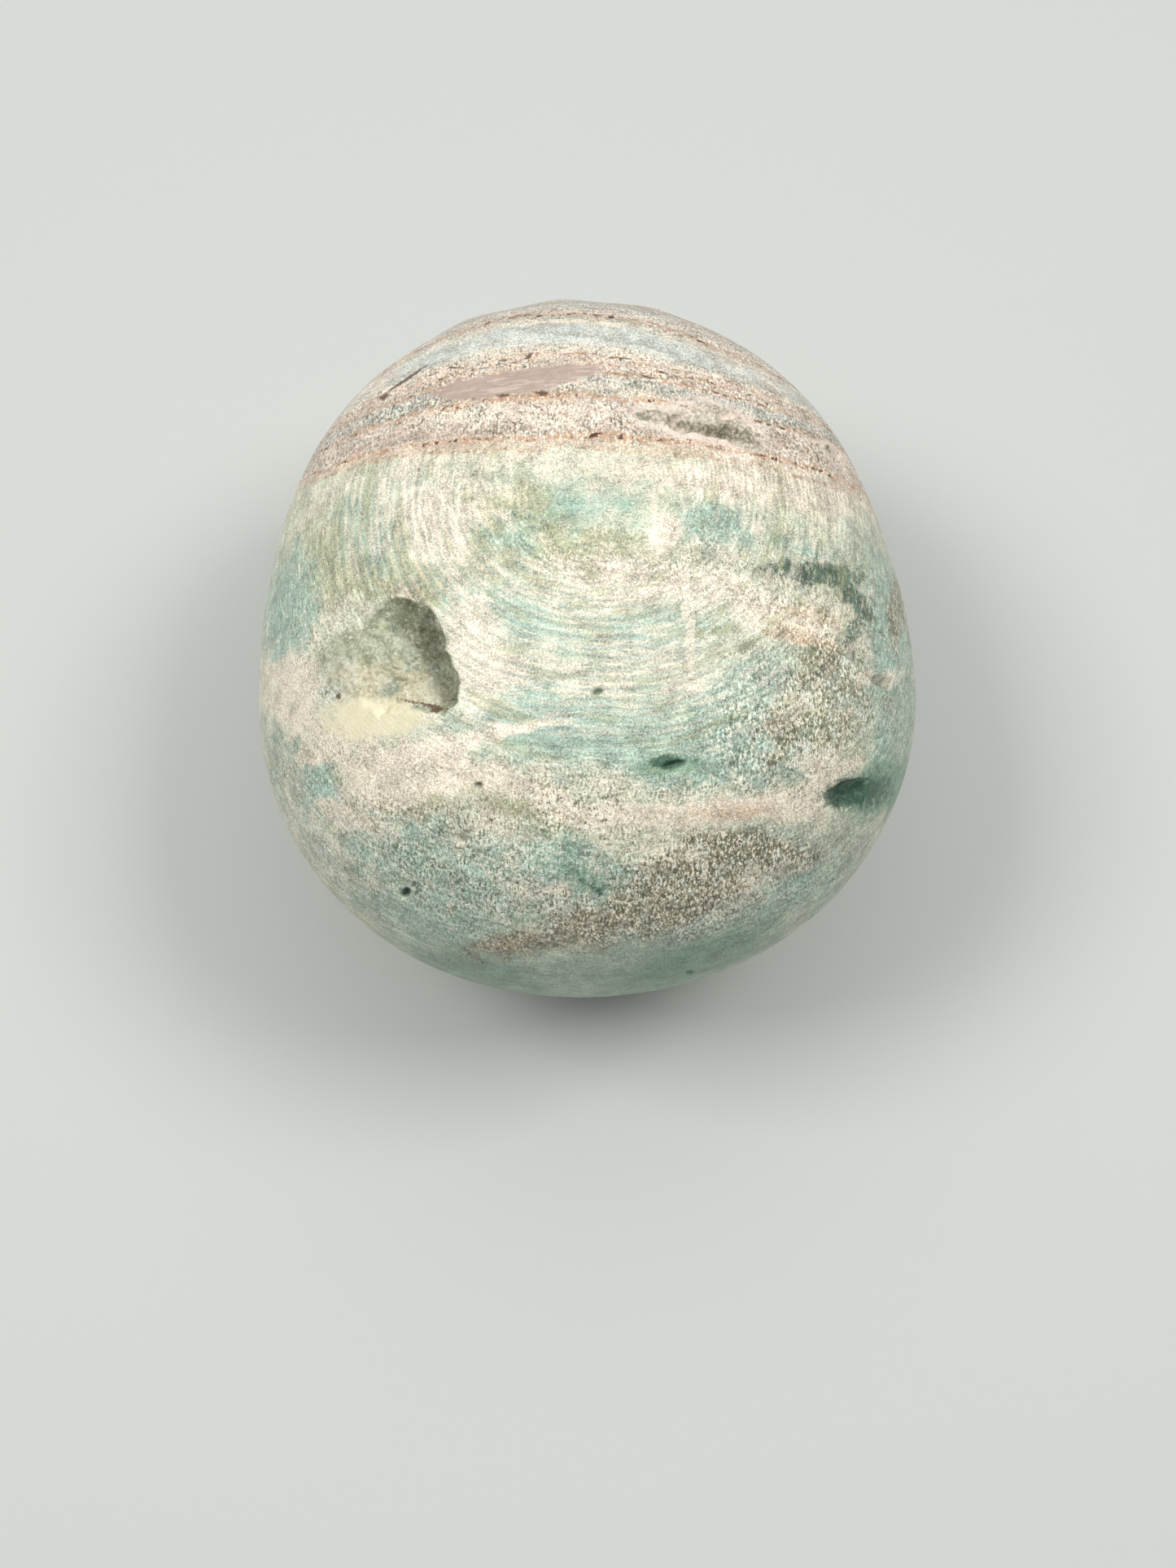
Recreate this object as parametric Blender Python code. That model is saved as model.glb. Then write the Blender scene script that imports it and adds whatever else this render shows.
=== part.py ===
"""A banded green and cream stone carved and polished as a human skull, as one solid, in metres.

The face looks along -Y, the back of the head is at +Y, +Z is up, and the flat base rests on Z = 0.
Every form below is given in millimetres of the real stone and turned into metres at the end.
The carving is symmetrical, so most forms are written once, for the side with positive X.
"""

import bmesh
import bpy
import numpy as np

METRES = 0.001

# The block: the skull is 79 mm from brow to back, 72 mm wide and 65 mm high.
HALF_WIDTH = 36.0
FRONT_REACH = 44.0
BACK_REACH = 32.8
WIDEST = np.array([0.0, 7.0, 36.0])
CROWN_HEIGHT = 29.0
UNDER_DEPTH = 32.0
SIDE_FULLNESS = 2.08
PROFILE_FULLNESS = 2.2
BASE_EDGE = 1.2

# The face, on the side with positive X.
ORBIT = np.array([13.6, -45.5, 34.8])
NASAL_BASE = 25.6
MOUTH_HEIGHT = 17.2
ARCH_CENTRE = np.array([0.0, -22.0])
ARCH_RADII = np.array([15.0, 16.2])
TOOTH_WIDTH = 3.7
TOOTH_HEIGHT = 6.2
TOOTH_GAP = 0.95
MOUTH_DEPTH = 1.5
NECK_DEPTH = 0.55

# The natural cavities, at their places on the crown.
CAVITY_LIP = 0.5

# The surface is found along rays that run from the core out to the farthest reach.
CORE = np.array([0.0, -4.0, 31.0])
FARTHEST = 62.0
MOST_STEPS = 90
STEP_SHARE = 0.55
LEAST_STEP = 0.02
MOST_STEP = 6.0
HALVINGS = 18

# The rays are drawn together over the face.
FACE_DIRECTION = np.array([0.0, -0.93, -0.36])
CROWD_SHARE = 0.42
CROWD_SPREAD = 0.75

MESH_DENSITY = 7
TRIANGLES = 9400


def ellipsoid(p, centre, radii, turn=0.0):
    """Distance to an ellipsoid, turned by some degrees about the vertical through its centre."""
    q = p - np.array(centre)
    if turn:
        c = np.cos(np.radians(turn))
        s = np.sin(np.radians(turn))
        q = np.stack([c * q[:, 0] + s * q[:, 1], c * q[:, 1] - s * q[:, 0], q[:, 2]], axis=1)
    radii = np.array(radii)
    near = np.linalg.norm(q / radii, axis=1) + 1e-9
    slope = np.linalg.norm(q / radii**2, axis=1) + 1e-9
    return near * (near - 1.0) / slope


def limb(p, start, end, start_radius, end_radius):
    """Distance to a rounded rod whose radius changes from one end to the other."""
    start = np.array(start)
    run = np.array(end) - start
    along = np.clip((p - start) @ run / (run @ run), 0.0, 1.0)
    middle = start + along[:, None] * run
    radius = start_radius + along * (end_radius - start_radius)
    return np.linalg.norm(p - middle, axis=1) - radius


def join(a, b, blend):
    """The union of two forms, with a fillet about as wide as blend."""
    mix = np.clip(0.5 + 0.5 * (b - a) / blend, 0.0, 1.0)
    return b + (a - b) * mix - blend * mix * (1.0 - mix)


def overlap(a, b, blend):
    """What two forms have in common, its edge rounded."""
    return -join(-a, -b, blend)


def cut(a, b, blend):
    """Form a with form b cut out of it, its rim rounded."""
    return overlap(a, -b, blend)


def mirrored(p):
    return np.stack([np.abs(p[:, 0]), p[:, 1], p[:, 2]], axis=1)


def cranium(p):
    """The dome: longer in front of its widest place than behind it."""
    q = p - WIDEST
    reach = np.where(q[:, 1] < 0, FRONT_REACH, BACK_REACH)
    height = np.where(q[:, 2] < 0, UNDER_DEPTH, CROWN_HEIGHT)
    x = np.abs(q[:, 0]) / HALF_WIDTH
    y = np.abs(q[:, 1]) / reach
    z = np.abs(q[:, 2]) / height
    profile = (y**PROFILE_FULLNESS + z**PROFILE_FULLNESS) ** (1.0 / PROFILE_FULLNESS)
    size = (x**SIDE_FULLNESS + profile**SIDE_FULLNESS) ** (1.0 / SIDE_FULLNESS)
    return (size - 1.0) * 32.0


def back_of_base(p):
    """The lower back of the head, which comes down almost to the surface it stands on."""
    return ellipsoid(p, (0.0, 9.0, 17.0), (25.5, 24.5, 21.0))


def forehead(p):
    """Fills the front of the dome, so that the forehead stands steep over the brow."""
    return ellipsoid(p, (0.0, -7.5, 40.0), (31.6, 28.8, 22.0))


def brow(m):
    ridge = limb(m, (0.0, -34.5, 40.4), (9.0, -31.9, 41.0), 3.8, 3.7)
    side = limb(m, (9.0, -31.9, 41.0), (18.6, -27.0, 39.6), 3.7, 3.3)
    rim = limb(m, (18.6, -27.0, 39.6), (21.8, -25.8, 33.0), 3.3, 3.2)
    return join(join(ridge, side, 2.0), rim, 2.0)


def temple(m):
    """The shallow dip behind the outer corner of the brow."""
    return ellipsoid(m, (33.0, -22.0, 35.5), (8.0, 11.0, 7.5))


def upper_jaw(m):
    """The middle of the face, which carries the cheekbones and the upper teeth."""
    return ellipsoid(m, (0.0, -17.0, 24.0), (21.0, 19.0, 23.0))


def hollow_cheek(m):
    """The dip between the cheekbone and the lower jaw."""
    return ellipsoid(m, (23.8, -27.0, 16.5), (7.8, 10.0, 5.8))


def cheekbone(m):
    body = ellipsoid(m, (19.5, -28.0, 26.5), (8.2, 6.8, 5.4), turn=30.0)
    arch = limb(m, (24.0, -24.0, 27.5), (29.0, -6.0, 27.5), 3.5, 3.0)
    return join(body, arch, 3.0)


def jaw(m):
    chin = ellipsoid(m, (0.0, -30.5, 5.5), (12.0, 7.0, 7.5))
    body = limb(m, (9.0, -29.0, 6.0), (21.0, -12.0, 8.0), 6.4, 5.6)
    ramus = limb(m, (21.5, -11.0, 8.0), (24.5, -6.0, 26.0), 5.4, 4.6)
    return join(join(chin, body, 4.0), ramus, 3.0)


def nose_bridge(m):
    return limb(m, (0.0, -34.5, 40.0), (0.0, -37.0, 32.5), 3.3, 2.5)


def dental_arch(m):
    """The two rows of teeth: a bowed wall, scalloped tooth by tooth and parted at the mouth."""
    flat = (m[:, :2] - ARCH_CENTRE) / ARCH_RADII
    wall = (np.linalg.norm(flat, axis=1) - 1.0) * ARCH_RADII.mean()
    angle = np.arctan2(m[:, 0], ARCH_CENTRE[1] - m[:, 1])
    along = angle * ARCH_RADII.mean()
    to_gap = np.abs((along / TOOTH_WIDTH + 0.5) % 1.0 - 0.5) * TOOTH_WIDTH
    lift = np.abs(m[:, 2] - MOUTH_HEIGHT)
    on_teeth = np.clip((TOOTH_HEIGHT + 1.5 - lift) / 3.0, 0.0, 1.0)
    gap = TOOTH_GAP * np.exp(-((to_gap / 0.55) ** 2)) * on_teeth
    mouth = MOUTH_DEPTH * np.exp(-((lift / 0.6) ** 2))
    neck = NECK_DEPTH * np.exp(-(((lift - TOOTH_HEIGHT) / 0.9) ** 2))
    height = lift - (TOOTH_HEIGHT + 2.2)
    return overlap(wall + gap + mouth + neck, height, 2.0)


def orbit(m):
    socket = ellipsoid(m, ORBIT, (10.0, 21.5, 9.2), turn=20.0)
    corner = ellipsoid(m, ORBIT + np.array([3.2, 1.0, -2.6]), (8.6, 19.5, 7.6), turn=20.0)
    return join(socket, corner, 2.0)


def nasal_opening(m):
    wing = ellipsoid(m, (2.8, -40.5, NASAL_BASE), (3.3, 10.4, 3.9))
    bridge = ellipsoid(m, (0.0, -40.5, NASAL_BASE + 4.4), (3.4, 10.2, 5.9))
    return join(wing, bridge, 1.5)


def hollow(p, centre, outward, along, radii):
    """Distance to an ellipsoid set into the surface: its radii are across, along and into it."""
    outward = np.array(outward) / np.linalg.norm(outward)
    across = np.cross(along, outward)
    across /= np.linalg.norm(across)
    frame = np.stack([across, np.cross(outward, across), outward], axis=1)
    return ellipsoid((p - np.array(centre)) @ frame, (0.0, 0.0, 0.0), radii)


def natural_cavities(p):
    """The open cavities that the stone grew with, each with a steep lip on one side."""
    scoop_out = (0.42, 0.07, 0.9)
    forward = (0.0, 1.0, 0.0)
    deep = hollow(p, (16.9, 10.4, 62.2), scoop_out, forward, (2.5, 5.4, 3.4))
    slope = hollow(p, (20.2, 10.6, 60.7), scoop_out, forward, (5.0, 5.2, 1.9))
    nook = hollow(p, (15.4, 13.6, 62.2), scoop_out, forward, (2.2, 2.6, 2.2))
    brink = hollow(p, (19.6, 6.7, 60.9), scoop_out, forward, (3.4, 3.0, 2.2))
    scoop = join(join(deep, slope, 1.2), join(nook, brink, 1.0), 1.0)
    slot_start = limb(p, (-7.2, -14.3, 62.3), (-12.0, -13.6, 61.6), 0.5, 0.9)
    slot_middle = limb(p, (-12.0, -13.6, 61.6), (-16.4, -12.8, 60.2), 0.9, 1.3)
    slot_end = limb(p, (-16.4, -12.8, 60.2), (-19.0, -12.4, 59.0), 1.3, 0.5)
    slot_slope = hollow(p, (-14.6, -14.8, 60.9), (-0.32, -0.25, 0.92), (1.0, 0.0, 0.3), (2.3, 4.2, 1.0))
    slot_crack = hollow(p, (-14.2, -13.0, 61.0), (-0.39, -0.27, 0.88), (1.0, -0.1, 0.42), (0.8, 4.4, 3.0))
    slot = join(join(slot_start, slot_middle, 0.8), join(slot_end, slot_slope, 0.8), 0.8)
    slot = join(slot, slot_crack, 0.6)
    notch = hollow(p, (-28.4, -13.7, 51.2), (-0.74, -0.25, 0.62), (0.6, 0.0, 0.75), (0.9, 1.9, 1.0))
    green = hollow(p, (-25.9, 24.2, 51.6), (-0.62, 0.5, 0.6), (0.75, 0.21, 0.63), (2.2, 3.6, 1.8))
    return np.minimum(np.minimum(scoop, slot), np.minimum(notch, green))


def skull(p):
    """Signed distance to the carved stone: negative inside it."""
    m = mirrored(p)
    form = join(cranium(p), back_of_base(p), 8.0)
    form = join(form, forehead(p), 3.0)
    form = cut(form, temple(m), 4.0)
    form = join(form, upper_jaw(m), 4.0)
    form = join(form, jaw(m), 3.0)
    form = cut(form, hollow_cheek(m), 4.0)
    form = join(form, cheekbone(m), 3.0)
    form = join(form, dental_arch(m), 1.6)
    form = join(form, brow(m), 3.5)
    form = cut(form, orbit(m), 1.8)
    form = join(form, nose_bridge(m), 2.0)
    form = cut(form, nasal_opening(m), 1.0)
    form = cut(form, natural_cavities(p), CAVITY_LIP)
    above_table = -p[:, 2]
    return overlap(form, above_table, BASE_EDGE)


def surface_points(directions):
    """Where each ray from the core leaves the stone, found from outside so that rims stay whole."""
    reach = np.full(len(directions), FARTHEST)
    for _ in range(MOST_STEPS):
        gap = skull(CORE + directions * reach[:, None])
        out = gap > LEAST_STEP
        if not out.any():
            break
        step = np.clip(STEP_SHARE * gap, LEAST_STEP, MOST_STEP)
        reach = np.where(out, reach - step, reach)
    inside = reach - 1.0
    for _ in range(HALVINGS):
        middle = 0.5 * (reach + inside)
        gap = skull(CORE + directions * middle[:, None])
        reach = np.where(gap > 0, middle, reach)
        inside = np.where(gap > 0, inside, middle)
    return CORE + directions * reach[:, None]


def crowded(directions):
    """Directions drawn together over the face, so that the teeth and sockets get finer faces."""
    away = directions - FACE_DIRECTION / np.linalg.norm(FACE_DIRECTION)
    distance = np.linalg.norm(away, axis=1)
    pull = CROWD_SHARE * np.exp(-((distance / CROWD_SPREAD) ** 2))
    moved = directions - away * pull[:, None]
    return moved / np.linalg.norm(moved, axis=1)[:, None]


def stone_material():
    material = bpy.data.materials.new("banded_stone")
    material.use_nodes = True
    shader = material.node_tree.nodes["Principled BSDF"]
    shader.inputs["Base Color"].default_value = (0.52, 0.60, 0.53, 1.0)
    shader.inputs["Roughness"].default_value = 0.32
    shader.inputs["Metallic"].default_value = 0.0
    return material


def build_skull():
    mesh = bpy.data.meshes.new("skull")
    ball = bmesh.new()
    bmesh.ops.create_icosphere(ball, subdivisions=MESH_DENSITY, radius=1.0)
    directions = np.array([v.co for v in ball.verts])
    points = surface_points(crowded(directions)) * METRES
    for vert, point in zip(ball.verts, points):
        vert.co = point
    ball.to_mesh(mesh)
    ball.free()
    skull_object = bpy.data.objects.new("skull", mesh)
    bpy.context.scene.collection.objects.link(skull_object)
    thin = skull_object.modifiers.new("fewer_faces", "DECIMATE")
    thin.ratio = TRIANGLES / len(mesh.polygons)
    mesh.materials.append(stone_material())
    mesh.shade_smooth()
    return skull_object


def main():
    for old in list(bpy.data.objects):
        bpy.data.objects.remove(old)
    build_skull()


main()
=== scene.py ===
"""Looks of the polished skull carving: the fine surface, the banded stone, the floor, lights and camera.

The form repeats the CAD source's, in millimetres, with a finer mesh and the natural cavities' crystals.
Only the slot and the green hollow are a little narrower here, and moved by less than a millimetre.
The marks of the stone are placed in millimetres on a plan: the carving seen from above and behind.
"""

import bmesh
import bpy
import numpy as np
from mathutils import Matrix, Vector


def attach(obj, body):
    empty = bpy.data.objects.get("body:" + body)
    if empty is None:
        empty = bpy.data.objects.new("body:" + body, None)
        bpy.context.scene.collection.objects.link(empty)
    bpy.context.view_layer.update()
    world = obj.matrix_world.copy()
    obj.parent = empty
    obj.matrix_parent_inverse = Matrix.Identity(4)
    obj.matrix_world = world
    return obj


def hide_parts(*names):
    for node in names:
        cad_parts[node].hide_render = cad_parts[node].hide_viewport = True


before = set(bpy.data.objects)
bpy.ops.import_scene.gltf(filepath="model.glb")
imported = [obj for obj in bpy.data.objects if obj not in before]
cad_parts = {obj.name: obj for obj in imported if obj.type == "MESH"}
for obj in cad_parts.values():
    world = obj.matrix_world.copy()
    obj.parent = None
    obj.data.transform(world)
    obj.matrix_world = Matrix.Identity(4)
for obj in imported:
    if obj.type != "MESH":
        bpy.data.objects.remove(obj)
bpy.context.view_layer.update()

METRES = 0.001

# The block: the skull is 79 mm from brow to back, 72 mm wide and 65 mm high.
HALF_WIDTH = 36.0
FRONT_REACH = 44.0
BACK_REACH = 32.8
WIDEST = np.array([0.0, 7.0, 36.0])
CROWN_HEIGHT = 29.0
UNDER_DEPTH = 32.0
SIDE_FULLNESS = 2.08
PROFILE_FULLNESS = 2.2
BASE_EDGE = 1.2

# The face, on the side with positive X.
ORBIT = np.array([13.6, -45.5, 34.8])
NASAL_BASE = 25.6
MOUTH_HEIGHT = 17.2
ARCH_CENTRE = np.array([0.0, -22.0])
ARCH_RADII = np.array([15.0, 16.2])
TOOTH_WIDTH = 3.7
TOOTH_HEIGHT = 6.2
TOOTH_GAP = 0.95
MOUTH_DEPTH = 1.5
NECK_DEPTH = 0.55

CAVITY_LIP = 0.3
RIM_BREAK = 0.42

# The surface is found along rays that run from the core out to the farthest reach.
CORE = np.array([0.0, -4.0, 31.0])
FARTHEST = 62.0
MOST_STEPS = 90
STEP_SHARE = 0.55
LEAST_STEP = 0.02
MOST_STEP = 6.0
HALVINGS = 16
FACE_DIRECTION = np.array([0.0, -0.93, -0.36])

MESH_DENSITY = 7

# The camera: where it stands about the carving's centre, and how far down it is aimed.
CENTRE = np.array([0.0, 0.0, 32.5])
EYE_AZIMUTH = 176.0
EYE_ELEVATION = 70.0
EYE_DISTANCE = 266.0
LENS = 54.0
SENSOR = 36.0
PICTURE = (1445.0, 1927.0)
CENTRE_IN_PICTURE = (716.0, 797.0)


def ellipsoid(p, centre, radii, turn=0.0):
    """Distance to an ellipsoid, turned by some degrees about the vertical through its centre."""
    q = p - np.array(centre)
    if turn:
        c = np.cos(np.radians(turn))
        s = np.sin(np.radians(turn))
        q = np.stack([c * q[:, 0] + s * q[:, 1], c * q[:, 1] - s * q[:, 0], q[:, 2]], axis=1)
    radii = np.array(radii)
    near = np.linalg.norm(q / radii, axis=1) + 1e-9
    slope = np.linalg.norm(q / radii**2, axis=1) + 1e-9
    return near * (near - 1.0) / slope


def limb(p, start, end, start_radius, end_radius):
    """Distance to a rounded rod whose radius changes from one end to the other."""
    start = np.array(start)
    run = np.array(end) - start
    along = np.clip((p - start) @ run / (run @ run), 0.0, 1.0)
    middle = start + along[:, None] * run
    radius = start_radius + along * (end_radius - start_radius)
    return np.linalg.norm(p - middle, axis=1) - radius


def join(a, b, blend):
    """The union of two forms, with a fillet about as wide as blend."""
    mix = np.clip(0.5 + 0.5 * (b - a) / blend, 0.0, 1.0)
    return b + (a - b) * mix - blend * mix * (1.0 - mix)


def overlap(a, b, blend):
    """What two forms have in common, its edge rounded."""
    return -join(-a, -b, blend)


def cut(a, b, blend):
    """Form a with form b cut out of it, its rim rounded."""
    return overlap(a, -b, blend)


def mirrored(p):
    return np.stack([np.abs(p[:, 0]), p[:, 1], p[:, 2]], axis=1)


def cranium(p):
    """The dome: longer in front of its widest place than behind it."""
    q = p - WIDEST
    reach = np.where(q[:, 1] < 0, FRONT_REACH, BACK_REACH)
    height = np.where(q[:, 2] < 0, UNDER_DEPTH, CROWN_HEIGHT)
    x = np.abs(q[:, 0]) / HALF_WIDTH
    y = np.abs(q[:, 1]) / reach
    z = np.abs(q[:, 2]) / height
    profile = (y**PROFILE_FULLNESS + z**PROFILE_FULLNESS) ** (1.0 / PROFILE_FULLNESS)
    size = (x**SIDE_FULLNESS + profile**SIDE_FULLNESS) ** (1.0 / SIDE_FULLNESS)
    return (size - 1.0) * 32.0


def back_of_base(p):
    """The lower back of the head, which comes down almost to the surface it stands on."""
    return ellipsoid(p, (0.0, 9.0, 17.0), (25.5, 24.5, 21.0))


def forehead(p):
    """Fills the front of the dome, so that the forehead stands steep over the brow."""
    return ellipsoid(p, (0.0, -7.5, 40.0), (31.6, 28.8, 22.0))


def brow(m):
    ridge = limb(m, (0.0, -34.5, 40.4), (9.0, -31.9, 41.0), 3.8, 3.7)
    side = limb(m, (9.0, -31.9, 41.0), (18.6, -27.0, 39.6), 3.7, 3.3)
    rim = limb(m, (18.6, -27.0, 39.6), (21.8, -25.8, 33.0), 3.3, 3.2)
    return join(join(ridge, side, 2.0), rim, 2.0)


def temple(m):
    """The shallow dip behind the outer corner of the brow."""
    return ellipsoid(m, (33.0, -22.0, 35.5), (8.0, 11.0, 7.5))


def upper_jaw(m):
    """The middle of the face, which carries the cheekbones and the upper teeth."""
    return ellipsoid(m, (0.0, -17.0, 24.0), (21.0, 19.0, 23.0))


def hollow_cheek(m):
    """The dip between the cheekbone and the lower jaw."""
    return ellipsoid(m, (23.8, -27.0, 16.5), (7.8, 10.0, 5.8))


def cheekbone(m):
    body = ellipsoid(m, (19.5, -28.0, 26.5), (8.2, 6.8, 5.4), turn=30.0)
    arch = limb(m, (24.0, -24.0, 27.5), (29.0, -6.0, 27.5), 3.5, 3.0)
    return join(body, arch, 3.0)


def jaw(m):
    chin = ellipsoid(m, (0.0, -30.5, 5.5), (12.0, 7.0, 7.5))
    body = limb(m, (9.0, -29.0, 6.0), (21.0, -12.0, 8.0), 6.4, 5.6)
    ramus = limb(m, (21.5, -11.0, 8.0), (24.5, -6.0, 26.0), 5.4, 4.6)
    return join(join(chin, body, 4.0), ramus, 3.0)


def nose_bridge(m):
    return limb(m, (0.0, -34.5, 40.0), (0.0, -37.0, 32.5), 3.3, 2.5)


def dental_arch(m):
    """The two rows of teeth: a bowed wall, scalloped tooth by tooth and parted at the mouth."""
    flat = (m[:, :2] - ARCH_CENTRE) / ARCH_RADII
    wall = (np.linalg.norm(flat, axis=1) - 1.0) * ARCH_RADII.mean()
    angle = np.arctan2(m[:, 0], ARCH_CENTRE[1] - m[:, 1])
    along = angle * ARCH_RADII.mean()
    to_gap = np.abs((along / TOOTH_WIDTH + 0.5) % 1.0 - 0.5) * TOOTH_WIDTH
    lift = np.abs(m[:, 2] - MOUTH_HEIGHT)
    on_teeth = np.clip((TOOTH_HEIGHT + 1.5 - lift) / 3.0, 0.0, 1.0)
    gap = TOOTH_GAP * np.exp(-((to_gap / 0.55) ** 2)) * on_teeth
    mouth = MOUTH_DEPTH * np.exp(-((lift / 0.6) ** 2))
    neck = NECK_DEPTH * np.exp(-(((lift - TOOTH_HEIGHT) / 0.9) ** 2))
    height = lift - (TOOTH_HEIGHT + 2.2)
    return overlap(wall + gap + mouth + neck, height, 2.0)


def orbit(m):
    socket = ellipsoid(m, ORBIT, (10.0, 21.5, 9.2), turn=20.0)
    corner = ellipsoid(m, ORBIT + np.array([3.2, 1.0, -2.6]), (8.6, 19.5, 7.6), turn=20.0)
    return join(socket, corner, 2.0)


def nasal_opening(m):
    wing = ellipsoid(m, (2.8, -40.5, NASAL_BASE), (3.3, 10.4, 3.9))
    bridge = ellipsoid(m, (0.0, -40.5, NASAL_BASE + 4.4), (3.4, 10.2, 5.9))
    return join(wing, bridge, 1.5)


def hollow(p, centre, outward, along, radii):
    """Distance to an ellipsoid set into the surface: its radii are across, along and into it."""
    outward = np.array(outward) / np.linalg.norm(outward)
    across = np.cross(along, outward)
    across /= np.linalg.norm(across)
    axes = np.stack([across, np.cross(outward, across), outward], axis=1)
    return ellipsoid((p - np.array(centre)) @ axes, (0.0, 0.0, 0.0), radii)


def scoop(p):
    """The widest cavity: a steep lip on the skull's right, and a floor that rises to its left."""
    outward = (0.42, 0.07, 0.9)
    forward = (0.0, 1.0, 0.0)
    deep = hollow(p, (16.9, 10.4, 62.2), outward, forward, (2.5, 5.4, 3.4))
    slope = hollow(p, (20.2, 10.6, 60.7), outward, forward, (5.0, 5.2, 1.9))
    nook = hollow(p, (15.4, 13.6, 62.2), outward, forward, (2.2, 2.6, 2.2))
    brink = hollow(p, (19.6, 6.7, 60.9), outward, forward, (3.4, 3.0, 2.2))
    return join(join(deep, slope, 1.2), join(nook, brink, 1.0), 1.0)


def slot(p):
    """The narrow cavity along the bands on top of the forehead, with a crack at its bottom."""
    start = limb(p, (-7.2, -14.3, 62.3), (-12.0, -13.6, 61.6), 0.5, 0.9)
    middle = limb(p, (-12.0, -13.6, 61.6), (-16.4, -13.1, 60.2), 0.9, 1.2)
    end = limb(p, (-16.4, -13.1, 60.2), (-19.2, -13.2, 58.9), 1.2, 0.5)
    slope = hollow(p, (-14.6, -14.8, 60.9), (-0.32, -0.25, 0.92), (1.0, 0.0, 0.3), (2.3, 4.2, 1.0))
    crack = hollow(p, (-14.2, -13.0, 61.0), (-0.39, -0.27, 0.88), (1.0, -0.1, 0.42), (0.8, 4.4, 3.0))
    return join(join(join(start, middle, 0.8), join(end, slope, 0.8), 0.8), crack, 0.6)


def green_hollow(p):
    return hollow(p, (-25.8, 24.7, 51.3), (-0.62, 0.5, 0.6), (0.75, 0.21, 0.63), (1.7, 3.4, 1.9))


def side_notch(p):
    return hollow(p, (-28.4, -13.7, 51.2), (-0.74, -0.25, 0.62), (0.6, 0.0, 0.75), (0.9, 1.9, 1.0))


def small_pits(p):
    """Pits, chips and one crease too small for the solid."""
    crown = hollow(p, (-0.4, 16.1, 64.2), (0.0, 0.2, 0.98), (1.0, 0.3, 0.0), (0.35, 0.6, 0.8))
    teal = hollow(p, (-7.4, 23.3, 61.3), (-0.15, 0.42, 0.89), (1.0, 0.2, 0.1), (0.5, 1.3, 0.9))
    low = hollow(p, (20.2, 30.9, 48.6), (0.5, 0.75, 0.43), (0.4, 0.2, -0.8), (0.45, 1.1, 0.6))
    band = hollow(p, (12.0, 23.6, 60.0), (0.25, 0.45, 0.86), (1.0, 0.0, -0.3), (0.3, 0.5, 0.6))
    edge = hollow(p, (-8.7, 39.2, 37.0), (-0.19, 0.98, 0.02), (0.3, 0.1, 1.0), (0.5, 1.0, 0.7))
    side = hollow(p, (-30.2, 12.8, 51.6), (-0.79, 0.15, 0.58), (0.58, 0.1, 0.8), (0.7, 2.2, 0.5))
    corner = hollow(p, (-25.5, 30.3, 42.2), (-0.66, 0.72, 0.2), (0.6, 0.5, -0.6), (0.4, 1.3, 0.6))
    crease = limb(p, (15.0, -25.7, 54.8), (20.0, -22.8, 53.8), 0.25, 0.45)
    return np.minimum.reduce([crown, teal, low, band, edge, side, corner, crease])


def natural_cavities(p):
    """The larger cavities, their rims broken by the crystals."""
    form = np.minimum(np.minimum(scoop(p), slot(p)), np.minimum(side_notch(p), green_hollow(p)))
    near = form < 1.5
    form[near] += RIM_BREAK * rough_noise(p[near], 1.5, 101)
    return form


def carved_form(p):
    """Signed distance to the carving before its natural cavities: negative inside it."""
    m = mirrored(p)
    form = join(cranium(p), back_of_base(p), 8.0)
    form = join(form, forehead(p), 3.0)
    form = cut(form, temple(m), 4.0)
    form = join(form, upper_jaw(m), 4.0)
    form = join(form, jaw(m), 3.0)
    form = cut(form, hollow_cheek(m), 4.0)
    form = join(form, cheekbone(m), 3.0)
    form = join(form, dental_arch(m), 1.6)
    form = join(form, brow(m), 3.5)
    form = cut(form, orbit(m), 1.8)
    form = join(form, nose_bridge(m), 2.0)
    form = cut(form, nasal_opening(m), 1.0)
    above_table = -p[:, 2]
    return overlap(form, above_table, BASE_EDGE)


def skull(p):
    """Signed distance to the stone with its cavities and pits."""
    form = cut(carved_form(p), natural_cavities(p), CAVITY_LIP)
    return cut(form, small_pits(p), 0.25)


def surface_points(directions):
    """Where each ray from the core leaves the stone, found from outside so that rims stay whole."""
    reach = np.full(len(directions), FARTHEST)
    for _ in range(MOST_STEPS):
        gap = skull(CORE + directions * reach[:, None])
        out = gap > LEAST_STEP
        if not out.any():
            break
        step = np.clip(STEP_SHARE * gap, LEAST_STEP, MOST_STEP)
        reach = np.where(out, reach - step, reach)
    inside = reach - 1.0
    for _ in range(HALVINGS):
        middle = 0.5 * (reach + inside)
        gap = skull(CORE + directions * middle[:, None])
        reach = np.where(gap > 0, middle, reach)
        inside = np.where(gap > 0, inside, middle)
    return CORE + directions * reach[:, None]


def unit(v):
    return v / np.linalg.norm(v, axis=-1, keepdims=True)


def hashed(cells, seed):
    """One even random value from 0 to 1 for each whole-numbered cell."""
    cells = cells.astype(np.int64)
    n = cells[..., 0] * 73856093 ^ cells[..., 1] * 19349663 ^ cells[..., 2] * 83492791 ^ seed * 2654435
    n = (n ^ (n >> 13)) * 1274126177 & 0x7FFFFFFF
    n = (n ^ (n >> 16)) * 1103515245 & 0x7FFFFFFF
    return (n >> 7 & 0xFFFFF) / float(0xFFFFF)


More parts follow.
